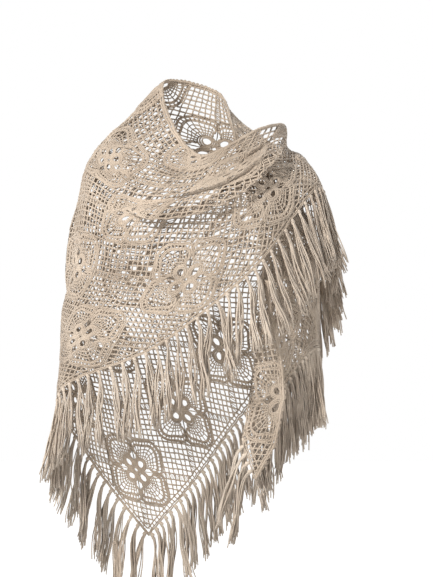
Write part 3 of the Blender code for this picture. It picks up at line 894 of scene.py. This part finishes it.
def strand_points(root, bundle, ways, length, lean, phase):
    """One yarn of a bundle, from the edge's direction round to its own waving way down."""
    outward, run, across = ways
    place = root
    points = [place + ROOT_SPREAD * bundle]
    shares = np.linspace(0, 1, LOCK_PIECES + 1)
    for done, share in zip(shares[:-1], shares[1:]):
        turn = math.exp(-(done + 0.5 / LOCK_PIECES) * length / LOCK_TURN)
        wave = WAVE_ALONG * math.sin(phase + TURNS_ALONG * done) * run
        wave = wave + WAVE_ACROSS * math.cos(1.3 * phase + TURNS_ACROSS * done) * across
        heading = unit(outward * turn + (lean + wave) * (1 - turn))
        place = place + heading * length / LOCK_PIECES
        spread = LOCK_SPREAD + LOCK_OPENS * smooth(np.array(share * LOCK_OPENING_RATE))
        points.append(place + float(spread) * bundle)
    return np.array(points)


def tassel(tubes, side, along, lean, number, random):
    """A bundle of yarns looped through the edge, hanging from a small knot."""
    root, outward, run = edge_point(side, along, LOCK_ROOT)
    across = unit(np.cross(outward, run))
    sway = SWAY * np.array([math.sin(2.4 * number), math.cos(1.7 * number), 0.0])
    sway += SWAY_ALONG * random.uniform(-1, 1) * run + SWAY_ACROSS * random.uniform(-1, 1) * across
    hang = unit(np.array([lean[0], lean[1], -1.0]) + sway)
    clumps = []
    for _ in range(CLUMPS):
        aside, forward = random.uniform(-1, 1), random.uniform(-1, 1)
        clumps.append((aside, forward, random.uniform(0, 2 * math.pi)))
    paths = []
    for strand in range(STRANDS):
        angle = 2 * math.pi * strand / STRANDS + random.uniform(-STRAND_JITTER, STRAND_JITTER)
        spread = math.sqrt(random.uniform(0.05, 1.0))
        bundle = spread * (math.cos(angle) * run + math.sin(angle) * across)
        length = LOCK_LONG * random.uniform(*LOCK_LENGTHS)
        aside, forward, phase = clumps[strand % CLUMPS]
        stray = STRAY_TIMES if random.uniform(0, 1) < STRAY_SHARE else 1.0
        drift = (CLUMP_DRIFT * aside + STRAY_ALONG * stray * random.uniform(-1, 1)) * run
        drift = drift + (CLUMP_DRIFT * forward + STRAY_ACROSS * stray * random.uniform(-1, 1)) * across
        phase = phase + random.uniform(-PHASE_JITTER, PHASE_JITTER)
        paths.append(strand_points(root, bundle, (outward, run, across), length, hang + drift, phase))
    knot = np.array([root + out * outward + KNOT_FORWARD * across for out, _ in KNOT])
    radii = np.array([radius for _, radius in KNOT])
    tubes.add(knot, np.tile(across, (len(knot), 1)), radii, KNOT_SIDES, [0], KNOT_FLATNESS)
    centres = np.concatenate(paths)
    normals = np.tile(unit(across + 0.3 * run), (len(centres), 1))
    starts = np.arange(STRANDS) * (LOCK_PIECES + 1)
    tubes.add(centres, normals, np.full(len(centres), STRAND_RADIUS), STRAND_SIDES, starts, 1.0)


def add_fringe(name, side, start, end, leans, material):
    """One object with all the bundles of a stretch of fringe."""
    random = np.random.RandomState(SEED + int(100 * start) + (7 if side > 0 else 0))
    tubes = Tubes()
    count = max(2, round(STEP * math.sqrt(2) * (end - start) / LOCK_PITCH))
    places = np.linspace(0, 1, len(leans))
    for number in range(count):
        f = (number + 0.5) / count
        lean = [np.interp(f, places, values) for values in zip(*leans)]
        tassel(tubes, side, start + f * (end - start), lean, number, random)
    return tubes.object(name, material)


# Materials, light and camera


def yarn_material(name, light, dark, roughness):
    """Cotton yarn: plies that wind round it with painted shade in the grooves between them, small fuzz and
    uneven colour.
    """
    made = bpy.data.materials.new(name)
    made.use_nodes = True
    nodes, links = made.node_tree.nodes, made.node_tree.links
    shader = nodes["Principled BSDF"]
    shader.inputs["Roughness"].default_value = roughness
    shader.inputs["Sheen Weight"].default_value = 0.25
    shader.inputs["Sheen Roughness"].default_value = 0.5
    shader.inputs["Specular IOR Level"].default_value = 0.2
    place = nodes.new("ShaderNodeTexCoord")
    yarn = nodes.new("ShaderNodeMapping")
    yarn.inputs["Scale"].default_value = (PLY_SCALE, 1.0, 1.0)
    plies = nodes.new("ShaderNodeTexWave")
    plies.wave_type = "BANDS"
    plies.bands_direction = "DIAGONAL"
    plies.inputs["Scale"].default_value = 0.5
    plies.inputs["Distortion"].default_value = 1.2
    plies.inputs["Detail"].default_value = 2.0
    links.new(place.outputs["UV"], yarn.inputs["Vector"])
    links.new(yarn.outputs["Vector"], plies.inputs["Vector"])
    fuzz = nodes.new("ShaderNodeTexNoise")
    fuzz.inputs["Scale"].default_value = 900.0
    fuzz.inputs["Detail"].default_value = 3.0
    links.new(place.outputs["Object"], fuzz.inputs["Vector"])
    batches = nodes.new("ShaderNodeTexNoise")
    batches.inputs["Scale"].default_value = 14.0
    batches.inputs["Detail"].default_value = 4.0
    links.new(place.outputs["Object"], batches.inputs["Vector"])
    shades = nodes.new("ShaderNodeValToRGB")
    shades.color_ramp.elements[0].position = 0.30
    shades.color_ramp.elements[0].color = (*dark, 1)
    shades.color_ramp.elements[1].position = 0.70
    shades.color_ramp.elements[1].color = (*light, 1)
    links.new(batches.outputs["Fac"], shades.inputs["Fac"])
    # painted shade: the colour is darkened in the grooves between the plies
    groove_shade = nodes.new("ShaderNodeMix")
    groove_shade.data_type = "RGBA"
    groove_shade.blend_type = "MULTIPLY"
    groove_shade.inputs["B"].default_value = (0.80, 0.76, 0.72, 1)
    inverse = nodes.new("ShaderNodeMath")
    inverse.operation = "MULTIPLY_ADD"
    inverse.inputs[1].default_value = -PLY_GROOVE_SHADE
    inverse.inputs[2].default_value = PLY_GROOVE_SHADE
    links.new(plies.outputs["Fac"], inverse.inputs[0])
    links.new(inverse.outputs["Value"], groove_shade.inputs["Factor"])
    links.new(shades.outputs["Color"], groove_shade.inputs["A"])
    links.new(groove_shade.outputs["Result"], shader.inputs["Base Color"])
    bump = nodes.new("ShaderNodeBump")
    bump.inputs["Strength"].default_value = 0.6
    bump.inputs["Distance"].default_value = 0.0006
    links.new(plies.outputs["Fac"], bump.inputs["Height"])
    fine = nodes.new("ShaderNodeBump")
    fine.inputs["Strength"].default_value = 0.4
    fine.inputs["Distance"].default_value = 0.0003
    links.new(fuzz.outputs["Fac"], fine.inputs["Height"])
    links.new(bump.outputs["Normal"], fine.inputs["Normal"])
    links.new(fine.outputs["Normal"], shader.inputs["Normal"])
    return made


def add_floor():
    """A round pale floor with a painted glow that rises towards its rim, until it is as white as the
    surroundings.
    """
    mesh = bpy.data.meshes.new("floor")
    turns = [2 * math.pi * n / FLOOR_CORNERS for n in range(FLOOR_CORNERS)]
    rim = [(FLOOR_REACH * math.cos(turn), FLOOR_REACH * math.sin(turn), FLOOR_Z) for turn in turns]
    mesh.from_pydata(rim, [], [tuple(range(FLOOR_CORNERS))])
    pale = bpy.data.materials.new("floor_with_painted_glow")
    pale.use_nodes = True
    nodes, links = pale.node_tree.nodes, pale.node_tree.links
    shader = nodes["Principled BSDF"]
    shader.inputs["Base Color"].default_value = (0.80, 0.80, 0.80, 1)
    shader.inputs["Roughness"].default_value = 0.9
    # painted light: the floor glows, faintly near the middle and at full white towards its rim
    shader.inputs["Emission Color"].default_value = (1, 1, 1, 1)
    place = nodes.new("ShaderNodeTexCoord")
    far = nodes.new("ShaderNodeVectorMath")
    far.operation = "LENGTH"
    links.new(place.outputs["Object"], far.inputs[0])
    glow = nodes.new("ShaderNodeMapRange")
    glow.interpolation_type = "SMOOTHSTEP"
    glow.inputs["From Min"].default_value, glow.inputs["From Max"].default_value = FLOOR_GLOW_FROM
    glow.inputs["To Min"].default_value, glow.inputs["To Max"].default_value = FLOOR_GLOW_TO
    links.new(far.outputs["Value"], glow.inputs["Value"])
    links.new(glow.outputs["Result"], shader.inputs["Emission Strength"])
    mesh.materials.append(pale)
    floor = bpy.data.objects.new("floor", mesh)
    bpy.context.scene.collection.objects.link(floor)


def add_area_light(name, place, target, size, power, colour):
    """A round lamp that faces its target."""
    data = bpy.data.lights.new(name, "AREA")
    data.shape = "DISK"
    data.size = size
    data.energy = power
    data.color = colour
    light = bpy.data.objects.new(name, data)
    light.location = place
    way = np.array(target) - np.array(place)
    turn = math.atan2(way[0], -way[1])
    light.rotation_euler = (math.atan2(math.hypot(way[0], way[1]), -way[2]), 0, turn + math.pi)
    bpy.context.scene.collection.objects.link(light)


def add_camera():
    """A long lens, level with the middle of the photo."""
    data = bpy.data.cameras.new("camera")
    data.sensor_width = SENSOR
    data.lens = SENSOR * CAMERA_AWAY / (PHOTO_PIXELS * PIXEL * MM)
    camera = bpy.data.objects.new("camera", data)
    camera.location = (CAMERA_X, -CAMERA_AWAY, CAMERA_Z)
    camera.rotation_euler = (math.pi / 2, 0, 0)
    bpy.context.scene.collection.objects.link(camera)
    bpy.context.scene.camera = camera


def add_world():
    """A white studio: bright all round at the height of the object, dimmer above and below."""
    world = bpy.data.worlds.new("studio")
    world.use_nodes = True
    nodes, links = world.node_tree.nodes, world.node_tree.links
    way = nodes.new("ShaderNodeTexCoord")
    axes = nodes.new("ShaderNodeSeparateXYZ")
    links.new(way.outputs["Generated"], axes.inputs["Vector"])
    height = nodes.new("ShaderNodeMapRange")
    height.inputs["From Min"].default_value = -1.0
    height.inputs["From Max"].default_value = 1.0
    links.new(axes.outputs["Z"], height.inputs["Value"])
    fade = nodes.new("ShaderNodeValToRGB")
    stops = fade.color_ramp.elements
    for n in (0, 1):
        stops[n].position = STUDIO[n][0]
        stops[n].color = (*STUDIO[n][1], 1)
    for place, colour in STUDIO[2:]:
        stops.new(place).color = (*colour, 1)
    links.new(height.outputs["Result"], fade.inputs["Fac"])
    links.new(fade.outputs["Color"], nodes["Background"].inputs["Color"])
    nodes["Background"].inputs["Strength"].default_value = 1.0
    bpy.context.scene.world = world
    bpy.context.scene.view_settings.view_transform = "Standard"


def cut_area(start, end):
    """Flat area of the triangle between two lattice steps, in square metres."""

    def up_to(i):
        return STEPS * i - 0.5 * i * abs(i)

    return (up_to(end) - up_to(start)) * (STEP * MM) ** 2


def main():
    lace = yarn_material("cotton_lace", *LACE_COLOURS, LACE_ROUGHNESS)
    fringe = yarn_material("fringe_yarn", *FRINGE_COLOURS, FRINGE_ROUGHNESS)
    for name, node, side, start, end, leans in FRINGES:
        piece = add_fringe(name, side, start, end, leans, fringe)
        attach(piece, "root")
        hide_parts(node)
    for name, node, start, end, fringes in SHEETS:
        yarns = Yarns()
        low, high = start * STEP, end * STEP
        add_net(yarns, low, high, room_left(low, high, end <= TURN_START))
        add_ladders(yarns, low, high)
        add_stars(yarns, low, high)
        add_motifs(yarns, low, high)
        add_borders(yarns, low, high)
        add_hem(yarns, low, high)
        piece = weave(name, yarns, end <= TURN_START, lace)
        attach(piece, "root")
        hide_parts(node)
        cut_area(start, end)
    add_world()
    add_floor()
    for light in LIGHTS:
        add_area_light(*light)
    add_camera()


main()
